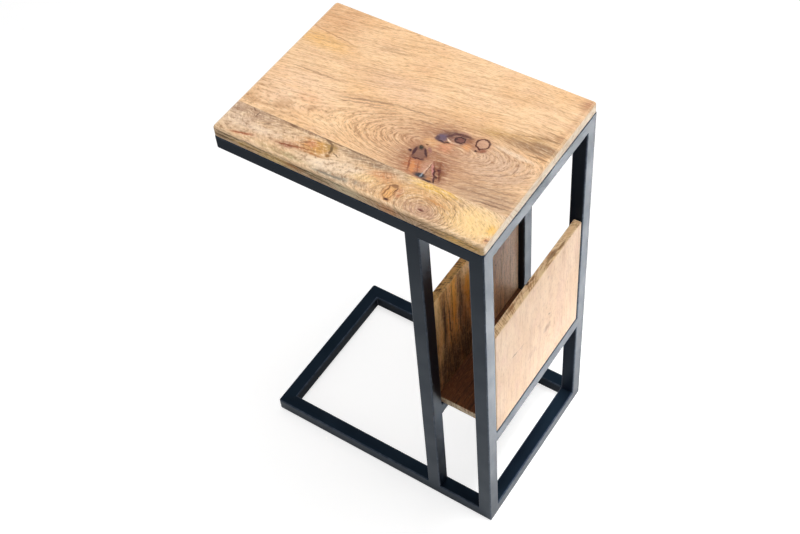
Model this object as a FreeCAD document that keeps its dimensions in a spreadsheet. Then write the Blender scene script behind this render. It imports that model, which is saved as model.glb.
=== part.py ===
import FreeCAD, Part
import os
import re
import Sketcher

# C shaped side table: a wood top on a welded square-tube frame, with a magazine rack between the posts.
# Millimetres. X runs along the table with the open end of the C at -X, -Y is the near side and +Z is up.
# The origin lies on the floor, under the middle of the top.

SIZES = {
    # Overall
    "table_length": 406.0,
    "table_width": 280.0,
    "table_height": 658.0,
    # Square tube of the frame
    "tube_side": 22.0,
    "tube_wall": 1.5,
    "tube_radius": 2.0,
    # Wood top, glued up from a wide and a narrow board
    "top_thickness": 17.0,
    "narrow_board_width": 55.0,
    "top_corner_radius": 4.0,
    "top_edge_radius": 2.0,
    # Magazine rack
    "post_gap": 70.0,
    "rack_rail_top": 227.0,
    "panel_height": 222.0,
    "panel_thickness": 12.0,
    "panel_recess": 1.0,
    "panel_edge_radius": 1.5,
    "panel_end_gap": 2.0,
    "floor_thickness": 13.0,
    "floor_end_gap": 4.0,
    "floor_edge_radius": 1.0,
    # Corner plates that carry the top
    "plate_leg": 38.0,
    "plate_thickness": 3.0,
    "plate_hole_inset": 11.0,
    # Wood screws
    "screw_diameter": 4.0,
    "screw_head_diameter": 8.0,
    "screw_head_height": 2.4,
    "screw_head_radius": 1.0,
    "screw_tip": 1.4,
    "screw_clearance": 0.25,
    "pilot_clearance": 0.1,
    "pilot_tip_gap": 1.0,
    "top_screw_cover": 4.0,
    "rack_screw_depth": 25.0,
    "rack_screw_inset": 36.0,
    "driver_hole_diameter": 10.0,
    # Dowels between the rack's panels and its floor
    "dowel_diameter": 6.0,
    "dowel_chamfer": 0.8,
    "dowel_cover": 4.0,
    "dowel_floor_depth": 16.0,
    "dowel_clearance": 0.1,
    "dowel_end_gap": 0.5,
    # Glides under the base
    "glide_height": 3.0,
    "glide_diameter": 16.0,
    "glide_edge_radius": 1.0,
    "glide_stem_diameter": 8.0,
    "glide_stem_length": 9.0,
    "glide_clearance": 0.15,
    "glide_inset": 40.0,
}

# Places and lengths that follow from the sizes
TOP_UNDERSIDE = "(table_height - top_thickness)"
TOP_RAIL_Z = "(table_height - top_thickness - tube_side)"
BASE_TOP = "(glide_height + tube_side)"
POST_LENGTH = f"({TOP_RAIL_Z} - {BASE_TOP})"
HALF_LENGTH = "(table_length/2)"
HALF_WIDTH = "(table_width/2)"
CORNER_POST_X = f"({HALF_LENGTH} - tube_side)"
INNER_POST_X = f"({CORNER_POST_X} - post_gap - tube_side)"
RAIL_SPAN = "(table_width - 2*tube_side)"
RACK_RAIL_Z = "(rack_rail_top - tube_side)"
PANEL_SPAN = f"({RAIL_SPAN} - 2*panel_end_gap)"
FLOOR_SPAN = f"({RAIL_SPAN} - 2*floor_end_gap)"
INNER_PANEL_FACE = f"({INNER_POST_X} + panel_recess + panel_thickness)"
OUTER_PANEL_FACE = f"({HALF_LENGTH} - panel_recess - panel_thickness)"
FLOOR_WIDTH = f"({OUTER_PANEL_FACE} - {INNER_PANEL_FACE})"
PANEL_MIDDLE = "(panel_recess + panel_thickness/2)"
PLATE_HOLE = "(tube_side + plate_hole_inset)"
TOP_SCREW_DEPTH = "(top_thickness - top_screw_cover)"
DOWEL_PANEL_DEPTH = "(panel_thickness - dowel_cover)"
DOWEL_HEIGHT = "(floor_thickness/2)"
DOWEL_LENGTH = f"({DOWEL_PANEL_DEPTH} + dowel_floor_depth - 2*dowel_end_gap)"

# Stations of the rack's fasteners along a panel: screws at the ends and the middle, dowels half-way between
SCREW_STATIONS = ("rack_screw_inset", f"({PANEL_SPAN}/2)", f"({PANEL_SPAN} - rack_screw_inset)")
DOWEL_STATIONS = (f"({PANEL_SPAN}/4 + rack_screw_inset/2)", f"({PANEL_SPAN}*3/4 - rack_screw_inset/2)")

SHEET = "Sizes"
ORIGIN_POINT = (-1, 1)
START_RADIUS = 10.0
NEARLY_ZERO = 1e-6

doc = FreeCAD.newDocument("c_side_table")


def fill_sheet():
    """Write every size into the sheet under its own alias."""
    sheet = doc.addObject("Spreadsheet::Sheet", SHEET)
    for row, (alias, value) in enumerate(SIZES.items(), start=1):
        sheet.set(f"A{row}", alias)
        sheet.set(f"B{row}", str(value))
        sheet.setAlias(f"B{row}", alias)
    doc.recompute()


def tie(item, path, formula):
    """Bind a property to a formula that is written in the sheet's aliases."""
    item.setExpression(path, re.sub(r"[a-z]\w+", lambda word: f"{SHEET}.{word.group()}", formula))


def new_body(label, turn=(0, 0, 1, 0), place=("0", "0", "0"), separate=False):
    """Start a piece, turned about an axis (x, y, z, degrees) and placed by three formulas."""
    body = doc.addObject("PartDesign::Body", label)
    body.Label = label
    body.AllowCompound = separate
    axis = FreeCAD.Vector(*turn[:3])
    body.Placement = FreeCAD.Placement(FreeCAD.Vector(), FreeCAD.Rotation(axis, turn[3]))
    for letter, formula in zip("xyz", place):
        tie(body, f"Placement.Base.{letter}", formula)
    return body


def new_sketch(body, name, plane="XY_Plane", offset="0"):
    """Start a sketch on one of the piece's own planes, moved along the plane's normal."""
    sketch = body.newObject("Sketcher::SketchObject", f"{body.Name}_{name}")
    support = next(item for item in body.Origin.OriginFeatures if item.Role == plane)
    sketch.AttachmentSupport = [(support, "")]
    sketch.MapMode = "FlatFace"
    tie(sketch, "AttachmentOffset.Base.z", offset)
    return sketch


def pin_point(sketch, curve, point, x, y):
    """Hold a point of a sketch at two formulas measured from its origin."""
    ends = (*ORIGIN_POINT, curve, point)
    for distance, in_line, formula in (("DistanceX", "Vertical", x), ("DistanceY", "Horizontal", y)):
        if formula == "0":
            sketch.addConstraint(Sketcher.Constraint(in_line, *ends))
        else:
            index = sketch.addConstraint(Sketcher.Constraint(distance, *ends, START_RADIUS))
            tie(sketch, f"Constraints[{index}]", formula)


def draw_outline(sketch, corners):
    """Draw a closed outline through corners that are pairs of formulas."""
    count = len(corners)
    step = FreeCAD.Rotation(FreeCAD.Vector(0, 0, 1), 360.0 / count)
    start = FreeCAD.Vector(START_RADIUS, 0, 0)
    first = sketch.GeometryCount
    for _ in corners:
        end = step.multVec(start)
        sketch.addGeometry(Part.LineSegment(start, end), False)
        start = end
    for index in range(count):
        following = first + (index + 1) % count
        sketch.addConstraint(Sketcher.Constraint("Coincident", first + index, 2, following, 1))
    for index, (x, y) in enumerate(corners):
        pin_point(sketch, first + index, 1, x, y)


def draw_rectangle(sketch, width, height):
    """Draw a rectangle from the sketch's origin."""
    draw_outline(sketch, [("0", "0"), (width, "0"), (width, height), ("0", height)])


def draw_circles(sketch, centres, diameter):
    """Draw equal circles at centres that are pairs of formulas."""
    up = FreeCAD.Vector(0, 0, 1)
    for order, (x, y) in enumerate(centres, start=1):
        middle = FreeCAD.Vector(START_RADIUS * order, START_RADIUS, 0)
        circle = sketch.addGeometry(Part.Circle(middle, up, 1.0), False)
        pin_point(sketch, circle, 3, x, y)
        index = sketch.addConstraint(Sketcher.Constraint("Diameter", circle, 2.0))
        tie(sketch, f"Constraints[{index}]", diameter)


def pad(body, sketch, name, length):
    """Raise a sketch into a solid along its normal."""
    feature = body.newObject("PartDesign::Pad", f"{body.Name}_{name}")
    feature.Profile = sketch
    tie(feature, "Length", length)
    doc.recompute()
    return feature


def pocket(body, sketch, name, depth, along_normal):
    """Cut a sketch out of the solid, along its plane's normal or against it, and see that it cuts."""
    before = body.Tip.Shape.Volume
    feature = body.newObject("PartDesign::Pocket", f"{body.Name}_{name}")
    feature.Profile = sketch
    feature.Reversed = along_normal
    tie(feature, "Length", depth)
    doc.recompute()
    if not feature.Shape.Volume < before - NEARLY_ZERO:
        raise RuntimeError(f"{feature.Name} cuts nothing")


def dress_edges(body, kind, name, size, chosen):
    """Fillet or chamfer the edges of the solid so far that the test picks."""
    base = body.Tip
    edges = [f"Edge{number}" for number, edge in enumerate(base.Shape.Edges, start=1) if chosen(edge)]
    feature = body.newObject(f"PartDesign::{kind}", f"{body.Name}_{name}")
    feature.Base = (base, edges)
    tie(feature, "Radius" if kind == "Fillet" else "Size", size)
    doc.recompute()


def runs_along(edge, letter):
    """Say whether a straight edge lies along the axis named x, y or z."""
    straight = isinstance(edge.Curve, Part.Line)
    return straight and abs(getattr(edge.tangentAt(edge.FirstParameter), letter)) > 1.0 - NEARLY_ZERO


def lies_level(edge, height):
    """Say whether an edge lies flat at one height."""
    box = edge.BoundBox
    return abs(box.ZMin - height) < NEARLY_ZERO and abs(box.ZMax - height) < NEARLY_ZERO


def square_tube(label, length, mitre, turn, place):
    """Make a tube along its own X, with ends that slope by the mitre over its width, bored from end to end."""
    body = new_body(label, turn, place)
    outline = new_sketch(body, "outline")
    far_end = f"{length} - {mitre}"
    draw_outline(outline, [("0", "0"), (length, "0"), (far_end, "tube_side"), (mitre, "tube_side")])
    pad(body, outline, "bar", "tube_side")
    dress_edges(body, "Fillet", "corners", "tube_radius", lambda edge: runs_along(edge, "x"))
    bore = new_sketch(body, "bore", "YZ_Plane")
    low = "tube_wall"
    high = "tube_side - tube_wall"
    draw_outline(bore, [(low, low), (high, low), (high, high), (low, high)])
    pocket(body, bore, "hollow", length, True)
    return body


def drill_up(body, name, centres, diameter, depth):
    """Drill upright holes into a piece from its underside."""
    sketch = new_sketch(body, name)
    draw_circles(sketch, centres, diameter)
    pocket(body, sketch, f"{name}_holes", depth, True)


def level_frame(suffix, height):
    """Make a mitred rectangle of four tubes at one height and return them by side."""
    places = {
        "near": ("table_length", 0, (f"-{HALF_LENGTH}", f"-{HALF_WIDTH}")),
        "far": ("table_length", 180, (HALF_LENGTH, HALF_WIDTH)),
        "left": ("table_width", 270, (f"-{HALF_LENGTH}", HALF_WIDTH)),
        "right": ("table_width", 90, (HALF_LENGTH, f"-{HALF_WIDTH}")),
    }
    rails = {}
    for side, (length, degrees, place) in places.items():
        rails[side] = square_tube(f"{side}_{suffix}", length, "tube_side", (0, 0, 1, degrees), (*place, height))
    return rails


def make_frame():
    """Make the top and base rectangles, the four posts between them and the glide holes in the base."""
    level_frame("top_rail", TOP_RAIL_Z)
    base = level_frame("base_rail", "glide_height")
    stations = [("glide_inset", "tube_side/2"), ("table_length - glide_inset", "tube_side/2")]
    for side in ("near", "far"):
        drill_up(base[side], "glide", stations, "glide_stem_diameter + 2*glide_clearance", "2*tube_wall")
    for side, y in (("near", f"-{HALF_WIDTH}"), ("far", f"{HALF_WIDTH} - tube_side")):
        for name, x in (("corner", CORNER_POST_X), ("inner", INNER_POST_X)):
            place = (f"{x} + tube_side", y, BASE_TOP)
            square_tube(f"{side}_{name}_post", POST_LENGTH, "0", (0, 1, 0, -90), place)


def make_rack_rail(label, x, across):
    """Make a rack rail between two posts, with screw holes above and larger driver holes below."""
    place = (f"{x} + tube_side", f"-{RAIL_SPAN}/2", RACK_RAIL_Z)
    rail = square_tube(label, RAIL_SPAN, "0", (0, 0, 1, 90), place)
    centres = [(f"panel_end_gap + {station}", across) for station in SCREW_STATIONS]
    drill_up(rail, "screw", centres, "screw_diameter + 2*screw_clearance", "tube_side")
    drill_up(rail, "driver", centres, "driver_hole_diameter", "2*tube_wall")


def make_panel(label, degrees, x, y):
    """Make a rack panel with its slot side at its own y = 0, drilled for its screws and dowels."""
    panel = new_body(label, (0, 0, 1, degrees), (x, y, "rack_rail_top"))
    outline = new_sketch(panel, "outline")
    draw_rectangle(outline, PANEL_SPAN, "panel_thickness")
    pad(panel, outline, "board", "panel_height")
    dress_edges(panel, "Fillet", "edges", "panel_edge_radius", lambda edge: True)
    centres = [(station, "panel_thickness/2") for station in SCREW_STATIONS]
    drill_up(panel, "screw", centres, "screw_diameter + 2*pilot_clearance", "rack_screw_depth + pilot_tip_gap")
    dowels = new_sketch(panel, "dowel", "XZ_Plane")
    draw_circles(dowels, [(station, DOWEL_HEIGHT) for station in DOWEL_STATIONS],
                 "dowel_diameter + 2*dowel_clearance")
    pocket(panel, dowels, "dowel_holes", DOWEL_PANEL_DEPTH, False)


def make_rack_floor():
    """Make the floor board that lies on both rails between the panels, drilled for dowels from both sides."""
    place = (OUTER_PANEL_FACE, f"-{FLOOR_SPAN}/2", "rack_rail_top")
    floor = new_body("rack_floor", (0, 0, 1, 90), place)
    outline = new_sketch(floor, "outline")
    draw_rectangle(outline, FLOOR_SPAN, FLOOR_WIDTH)
    pad(floor, outline, "board", "floor_thickness")
    dress_edges(floor, "Fillet", "ends", "floor_edge_radius", lambda edge: runs_along(edge, "y"))
    centres = [(f"{station} + panel_end_gap - floor_end_gap", DOWEL_HEIGHT) for station in DOWEL_STATIONS]
    for name, offset, along_normal in (("outer_dowel", "0", False), ("inner_dowel", f"-{FLOOR_WIDTH}", True)):
        sketch = new_sketch(floor, name, "XZ_Plane", offset)
        draw_circles(sketch, centres, "dowel_diameter + 2*dowel_clearance")
        pocket(floor, sketch, f"{name}_holes", "dowel_floor_depth", along_normal)


def make_rack():
    """Make the rack's two rails, two panels and floor."""
    make_rack_rail("rack_inner_rail", INNER_POST_X, f"tube_side - {PANEL_MIDDLE}")
    make_rack_rail("rack_outer_rail", CORNER_POST_X, PANEL_MIDDLE)
    make_panel("rack_inner_panel", 90, INNER_PANEL_FACE, f"-{PANEL_SPAN}/2")
    make_panel("rack_outer_panel", 270, OUTER_PANEL_FACE, f"{PANEL_SPAN}/2")
    make_rack_floor()


def make_top_board(label, width, degrees, x):
    """Make a board of the top with its glued edge at its own y = 0 and its other edges rounded."""
    board = new_body(label, (0, 0, 1, degrees), (x, f"narrow_board_width - {HALF_WIDTH}", TOP_UNDERSIDE))
    outline = new_sketch(board, "outline")
    draw_rectangle(outline, "table_length", width)
    pad(board, outline, "board", "top_thickness")
    dress_edges(board, "Fillet", "corners", "top_corner_radius",
                lambda edge: runs_along(edge, "z") and edge.BoundBox.YMin > NEARLY_ZERO)
    dress_edges(board, "Fillet", "edges", "top_edge_radius",
                lambda edge: edge.BoundBox.YMax > NEARLY_ZERO
                and any(lies_level(edge, height) for height in (0.0, SIZES["top_thickness"])))
    across = f"{width} - {PLATE_HOLE}"
    centres = [(PLATE_HOLE, across), (f"table_length - {PLATE_HOLE}", across)]
    drill_up(board, "screw", centres, "screw_diameter + 2*pilot_clearance", TOP_SCREW_DEPTH)


def make_plates():
    """Make the four corner plates, flush with the top of the frame in its inner corners."""
    left = f"tube_side - {HALF_LENGTH}"
    right = f"{HALF_LENGTH} - tube_side"
    near = f"tube_side - {HALF_WIDTH}"
    far = f"{HALF_WIDTH} - tube_side"
    corners = {"near_left": (0, left, near), "near_right": (90, right, near),
               "far_right": (180, right, far), "far_left": (270, left, far)}
    for corner, (degrees, x, y) in corners.items():
        plate = new_body(f"{corner}_plate", (0, 0, 1, degrees), (x, y, f"{TOP_UNDERSIDE} - plate_thickness"))
        outline = new_sketch(plate, "outline")
        draw_outline(outline, [("0", "0"), ("plate_leg", "0"), ("0", "plate_leg")])
        draw_circles(outline, [("plate_hole_inset", "plate_hole_inset")], "screw_diameter + 2*screw_clearance")
        pad(plate, outline, "sheet", "plate_thickness")


def make_screws(label, place, centres, shank):
    """Make a group of upright screws whose heads bear upwards at the group's own z = 0."""
    group = new_body(label, place=place, separate=True)
    heads = new_sketch(group, "heads", offset="-screw_head_height")
    draw_circles(heads, centres, "screw_head_diameter")
    pad(group, heads, "head_discs", "screw_head_height")
    dress_edges(group, "Fillet", "head_edges", "screw_head_radius",
                lambda edge: lies_level(edge, -SIZES["screw_head_height"]))
    shanks = new_sketch(group, "shanks")
    draw_circles(shanks, centres, "screw_diameter")
    top = pad(group, shanks, "shank_rods", shank).Shape.BoundBox.ZMax
    dress_edges(group, "Chamfer", "tips", "screw_tip", lambda edge: lies_level(edge, top))


def make_dowels():
    """Make the dowels that pin the rack floor to both panels, each side a pair."""
    place = ("0", f"-{PANEL_SPAN}/2", "rack_rail_top")
    group = new_body("rack_dowels", place=place, separate=True)
    starts = {"inner": f"{INNER_PANEL_FACE} - {DOWEL_PANEL_DEPTH} + dowel_end_gap",
              "outer": f"{OUTER_PANEL_FACE} - dowel_floor_depth + dowel_end_gap"}
    for side, start in starts.items():
        sketch = new_sketch(group, side, "YZ_Plane", start)
        draw_circles(sketch, [(station, DOWEL_HEIGHT) for station in DOWEL_STATIONS], "dowel_diameter")
        pad(group, sketch, f"{side}_rods", DOWEL_LENGTH)
    dress_edges(group, "Chamfer", "ends", "dowel_chamfer", lambda edge: isinstance(edge.Curve, Part.Circle))


def make_glides():
    """Make the four glides, whose stems push into the holes under the near and far base rails."""
    x_places = {"left": f"glide_inset - {HALF_LENGTH}", "right": f"{HALF_LENGTH} - glide_inset"}
    y_places = {"near": f"tube_side/2 - {HALF_WIDTH}", "far": f"{HALF_WIDTH} - tube_side/2"}
    for side, y in y_places.items():
        for end, x in x_places.items():
            glide = new_body(f"{side}_{end}_glide", place=(x, y, "0"))
            disc = new_sketch(glide, "disc")
            draw_circles(disc, [("0", "0")], "glide_diameter")
            pad(glide, disc, "foot", "glide_height")
            dress_edges(glide, "Fillet", "rim", "glide_edge_radius", lambda edge: lies_level(edge, 0.0))
            stem = new_sketch(glide, "stem", offset="glide_height")
            draw_circles(stem, [("0", "0")], "glide_stem_diameter")
            pad(glide, stem, "plug", "glide_stem_length")


def make_fasteners():
    """Make the screws of the top and the rack and the rack's dowels."""
    x_places = (PLATE_HOLE, f"table_length - {PLATE_HOLE}")
    y_places = (PLATE_HOLE, f"table_width - {PLATE_HOLE}")
    make_screws("top_screws", (f"-{HALF_LENGTH}", f"-{HALF_WIDTH}", f"{TOP_UNDERSIDE} - plate_thickness"),
                [(x, y) for x in x_places for y in y_places],
                f"plate_thickness + {TOP_SCREW_DEPTH} - pilot_tip_gap")
    columns = (PANEL_MIDDLE, f"{HALF_LENGTH} - {INNER_POST_X} - {PANEL_MIDDLE}")
    make_screws("rack_screws", (INNER_POST_X, f"-{PANEL_SPAN}/2", "rack_rail_top - tube_wall"),
                [(x, y) for x in columns for y in SCREW_STATIONS], "tube_wall + rack_screw_depth")
    make_dowels()


def check_and_write():
    """Stop if anything failed to build, then write one file for each piece."""
    doc.recompute()
    broken = [item.Name for item in doc.Objects if {"Invalid", "Error"} & set(item.State)]
    bodies = [item for item in doc.Objects if item.TypeId == "PartDesign::Body"]
    broken += [body.Label for body in bodies if body.Shape.isNull() or not body.Shape.isValid()]
    if broken:
        raise RuntimeError(f"failed: {', '.join(broken)}")
    os.makedirs("parts", exist_ok=True)
    for body in bodies:
        body.Shape.exportStep(f"parts/{body.Label}.step")
        print(f"{body.Label}: {len(body.Shape.Solids)} solid(s), {body.Shape.Volume:.0f} mm3")


fill_sheet()
make_frame()
make_rack()
make_top_board("top_wide_board", "(table_width - narrow_board_width)", 0, f"-{HALF_LENGTH}")
make_top_board("top_narrow_board", "narrow_board_width", 180, HALF_LENGTH)
make_plates()
make_fasteners()
make_glides()
check_and_write()
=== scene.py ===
import logging
import math
from collections.abc import Callable
from dataclasses import dataclass
from enum import Enum

import bmesh
import bpy
from mathutils import Matrix, Quaternion, Vector


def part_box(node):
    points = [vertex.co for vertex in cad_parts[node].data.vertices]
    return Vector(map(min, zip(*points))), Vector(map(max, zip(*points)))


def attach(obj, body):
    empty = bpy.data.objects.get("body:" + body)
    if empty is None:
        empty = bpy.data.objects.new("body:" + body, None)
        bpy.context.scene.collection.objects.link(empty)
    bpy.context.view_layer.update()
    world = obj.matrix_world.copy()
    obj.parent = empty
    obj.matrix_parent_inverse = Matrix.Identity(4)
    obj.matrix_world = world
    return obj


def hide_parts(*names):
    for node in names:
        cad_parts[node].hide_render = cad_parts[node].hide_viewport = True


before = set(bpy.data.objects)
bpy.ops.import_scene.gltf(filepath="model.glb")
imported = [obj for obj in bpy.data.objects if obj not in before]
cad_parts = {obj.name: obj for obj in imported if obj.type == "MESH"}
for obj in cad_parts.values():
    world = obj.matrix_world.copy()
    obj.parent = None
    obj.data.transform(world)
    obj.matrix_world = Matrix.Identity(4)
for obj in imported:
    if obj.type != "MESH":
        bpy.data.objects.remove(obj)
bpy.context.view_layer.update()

# Looks of a C shaped side table: a welded steel frame, a glued wood top and a magazine rack.
# Shapes are in metres in the frame's own axes. Patterns are laid out in millimetres on the pieces.

LOG = logging.getLogger("side_table")
BODY = "root"
MM = 0.001
WHITE = (1.0, 1.0, 1.0, 1.0)
MIX_INPUTS = (0, 6, 7)
MIXED_COLOUR = 2
ALONG_X = Vector((1.0, 0.0, 0.0))
ALONG_Y = Vector((0.0, 1.0, 0.0))
ALONG_Z = Vector((0.0, 0.0, 1.0))

Socket = bpy.types.NodeSocket
Node = bpy.types.Node
Material = bpy.types.Material
Shape = bmesh.types.BMesh
Colour = tuple[float, float, float, float]
ScreenColour = tuple[int, int, int]
Point = tuple[float, float]
Triple = tuple[float, float, float]
Value = float | Socket
Input = Value | Colour | Triple
EdgeTest = Callable[[Vector, Vector], bool]


def paint(red: int, green: int, blue: int) -> Colour:
    """Turn a colour as a screen shows it, 0 to 255, into the shader's linear one.

    Args:
        red: Red step.
        green: Green step.
        blue: Blue step.

    Returns:
        The linear colour, fully opaque.
    """
    shares = [step / 255 for step in (red, green, blue)]
    linear = [((share + 0.055) / 1.055) ** 2.4 if share > 0.04045 else share / 12.92 for share in shares]
    return (*linear, 1.0)


class GrainAxis(Enum):
    """The frame axes along, across and through a board."""

    LENGTHWISE = ("X", "Y", "Z")
    UPRIGHT = ("Z", "Y", "X")
    CROSSWISE = ("Y", "X", "Z")


class Side(Enum):
    """A side of the frame's rectangles, as the direction from the middle."""

    NEAR = (0, -1)
    FAR = (0, 1)
    LEFT = (-1, 0)
    RIGHT = (1, 0)


@dataclass(frozen=True)
class Waves:
    """Noise in a finish: the size of its waves, and the levels where it begins to show and shows in full."""

    size: Triple
    detail: float = 2.0
    roughness: float = 0.5
    shows: Point = (0.35, 0.65)


# Noise in the wood, along, across and through a board
PATCHES = Waves((95.0, 60.0, 60.0))
BLOTS = Waves((38.0, 15.0, 15.0), 3.0, shows=(0.48, 0.68))
BANDS = Waves((150.0, 9.0, 60.0), 3.0, shows=(0.46, 0.72))
STREAKS = Waves((34.0, 3.2, 16.0), 3.0, 0.6, (0.32, 0.62))
LINES = Waves((58.0, 2.0, 20.0), 3.0, 0.6, (0.47, 0.72))
FLECKS = Waves((8.5, 1.3, 5.0), 3.0, 0.6, (0.5, 0.74))
CURL = Waves((9.0, 2.4, 1.0), 3.0, 0.65, (0.52, 0.74))
PORES = Waves((10.0, 0.8, 4.0), 2.0, 0.6, (0.56, 0.72))
CRUMBS = Waves((2.6, 2.6, 2.6), shows=(0.25, 0.5))
END_SPOTS = Waves((4.5, 13.0, 3.2), 4.0, 0.65, (0.44, 0.62))
RING_SWAY = Waves((120.0, 60.0, 200.0), 1.0)
RING_WOBBLE = Waves((26.0, 11.0, 60.0))

# Other levels at which some of that noise shows
PALE_FLECKS = (0.48, 0.28)
PALE_CURL = (0.48, 0.26)
CURLY_BLOTS = (0.36, 0.58)
UNBROKEN_LINES = (0.36, 0.6)
RUBBED_PATCHES = (0.3, 0.7)
GLOSS_LEVELS = (0.3, 0.7)

# Noise in the frame's coat, and in the small parts' finishes
CLOUDS = Waves((45.0, 45.0, 45.0), 3.0, shows=(0.4, 0.75))
SCUFFS_AND_HIGHLIGHTS = Waves((9.0, 9.0, 9.0), 4.0, 0.7, (0.35, 0.75))
PEEL = Waves((1.3, 1.3, 1.3))
COAT_GLOSS = (0.25, 0.75)
SMALL_GRAIN = (0.35, 0.7)

# Where a stain or a knot begins and where it is full, in its half sizes
SPOT_REACH = 2.5
STAIN_RIM = (1.4, 0.3)
MARK_RIM = (1.25, 0.45)
END_RIM = (1.3, 0.4)
KNOT_HALO = (2.1, 0.9)
KNOT_CORE = (1.0, 0.8)
KNOT_RIM = 0.95
KNOT_RIM_FULL = 0.2

# How far a ragged outline strays, and the length of its waves
STAIN_STRAY = (4.0, 14.0)
MARK_STRAY = (2.2, 6.0)
END_STRAY = (1.2, 4.0)

# Marks on faces, and the angles that tell edges and faces apart
EDGE_MARK = "rounded_edge"
END_MARK = "end_grain"
SHARP_EDGE = math.radians(20)
SMOOTH_EDGE = math.radians(40)
PARALLEL = 0.9
FACING_END = 0.8


class PatternNodes:
    """A node tree, with short calls for the nodes that a pattern is made of."""

    def __init__(self, tree: bpy.types.NodeTree) -> None:
        """Work in the given tree."""
        self.tree = tree

    def fill(self, node: Node, inputs: dict[str | int, Input]) -> None:
        """Link values that vary to a node's inputs, and set those that are the same all over.

        Args:
            node: The node to feed.
            inputs: Other nodes' outputs or constants, by the names or numbers of the inputs.
        """
        for name, value in inputs.items():
            if isinstance(value, Socket):
                self.tree.links.new(value, node.inputs[name])
            else:
                node.inputs[name].default_value = value

    def add(self, kind: str, output: str | int, inputs: dict[str | int, Input], **options: str) -> Socket:
        """Add a shader node and feed it.

        Args:
            kind: Blender's name of the node.
            output: Name or number of the output that is wanted.
            inputs: Values of its inputs.
            options: Values of the node's own options.

        Returns:
            The output.
        """
        node = self.tree.nodes.new(f"ShaderNode{kind}")
        for option, value in options.items():
            setattr(node, option, value)
        self.fill(node, inputs)
        return node.outputs[output]

    def math(self, operation: str, *values: Value) -> Socket:
        """Work out a number from up to three others."""
        return self.add("Math", 0, dict(enumerate(values)), operation=operation)

    def vector(self, operation: str, *values: Socket | Triple) -> Socket:
        """Work out a vector from two others."""
        return self.add("VectorMath", "Vector", dict(enumerate(values)), operation=operation)

    def join(self, *parts: Value) -> Socket:
        """Join three numbers into a vector."""
        return self.add("CombineXYZ", 0, dict(enumerate(parts)))

    def split(self, vector: Socket) -> dict[str, Socket]:
        """Part a vector into its X, Y and Z."""
        outputs = self.add("SeparateXYZ", 0, {0: vector}).node.outputs
        return {axis: outputs[axis] for axis in "XYZ"}

    def ray_kinds(self) -> tuple[Socket, Socket]:
        """Return 1 for rays from the camera, and 1 for rays that a surface mirrors or lets through."""
        path = self.add("LightPath", 0, {}).node.outputs
        return path["Is Camera Ray"], self.math("ADD", path["Is Glossy Ray"], path["Is Transmission Ray"])

    def object_place(self) -> Socket:
        """Return where a point lies on the table, in millimetres."""
        return self.vector("DIVIDE", self.add("TexCoord", "Object", {}), (MM, MM, MM))

    def face_mark(self, name: str) -> Socket:
        """Return 1 on the faces of a piece that carry a mark and 0 on the others."""
        return self.add("Attribute", "Fac", {}, attribute_name=name)

    def mix(self, share: Socket, under: Socket | Colour, over: Socket | Colour) -> Socket:
        """Lay one colour over another by a share that varies."""
        return self.add("Mix", MIXED_COLOUR, dict(zip(MIX_INPUTS, (share, under, over))), data_type="RGBA")

    def noise(self, counted: Socket, waves: Waves, output: str = "Fac") -> Socket:
        """Return smooth noise at a place that is counted in waves."""
        return self.add("TexNoise", output, {"Vector": counted, "Scale": 1.0, "Detail": waves.detail,
                                             "Roughness": waves.roughness})

    def pattern(self, place: Socket, waves: Waves, output: str = "Fac") -> Socket:
        """Return the noise of waves that lie along the axes of a place."""
        return self.noise(self.vector("DIVIDE", place, waves.size), waves, output)

    def ramp(self, value: Socket, start: float, end: float, low: float = 0.0, high: float = 1.0) -> Socket:
        """Ease a number from low to high while the value goes from start to end.

        Args:
            value: The number that is followed.
            start: Where the change begins.
            end: Where the change is complete.
            low: Result before the start.
            high: Result after the end.

        Returns:
            The eased number.
        """
        if start > end:
            start, end, low, high = end, start, high, low
        levels = {"Value": value, "From Min": start, "From Max": end, "To Min": low, "To Max": high}
        return self.add("MapRange", "Result", levels, interpolation_type="SMOOTHSTEP")

    def mapped(self, place: Socket, centre: Point, turn: float, size: Triple) -> Socket:
        """Count a place from a centre, turned, in units of a size.

        Args:
            place: The point on the board.
            centre: The new origin, along and across the board.
            turn: Degrees of turn on the board.
            size: Length of a unit along, across and through.

        Returns:
            The counted place.
        """
        inputs = {"Vector": place, "Location": (*centre, 0.0), "Rotation": (0.0, 0.0, math.radians(turn)),
                  "Scale": size}
        return self.add("Mapping", "Vector", inputs, vector_type="TEXTURE")

    def spot(self, place: Socket, centre: Point, half_size: Point, turn: float = 0.0) -> Socket:
        """Return the distance from a spot's centre, counted in half sizes of the spot.

        Args:
            place: The point on the board.
            centre: Middle of the spot, along and across the board.
            half_size: Half of the spot's length and width.
            turn: Degrees that the spot is turned on the board.

        Returns:
            0 in the middle, 1 on the spot's rim, and SPOT_REACH at most.
        """
        reach = (SPOT_REACH * half_size[0], SPOT_REACH * half_size[1], 1.0)
        counted = self.mapped(place, centre, turn, reach)
        fall = self.add("TexGradient", "Fac", {"Vector": counted}, gradient_type="SPHERICAL")
        return self.math("MULTIPLY_ADD", fall, -SPOT_REACH, SPOT_REACH)


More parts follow.
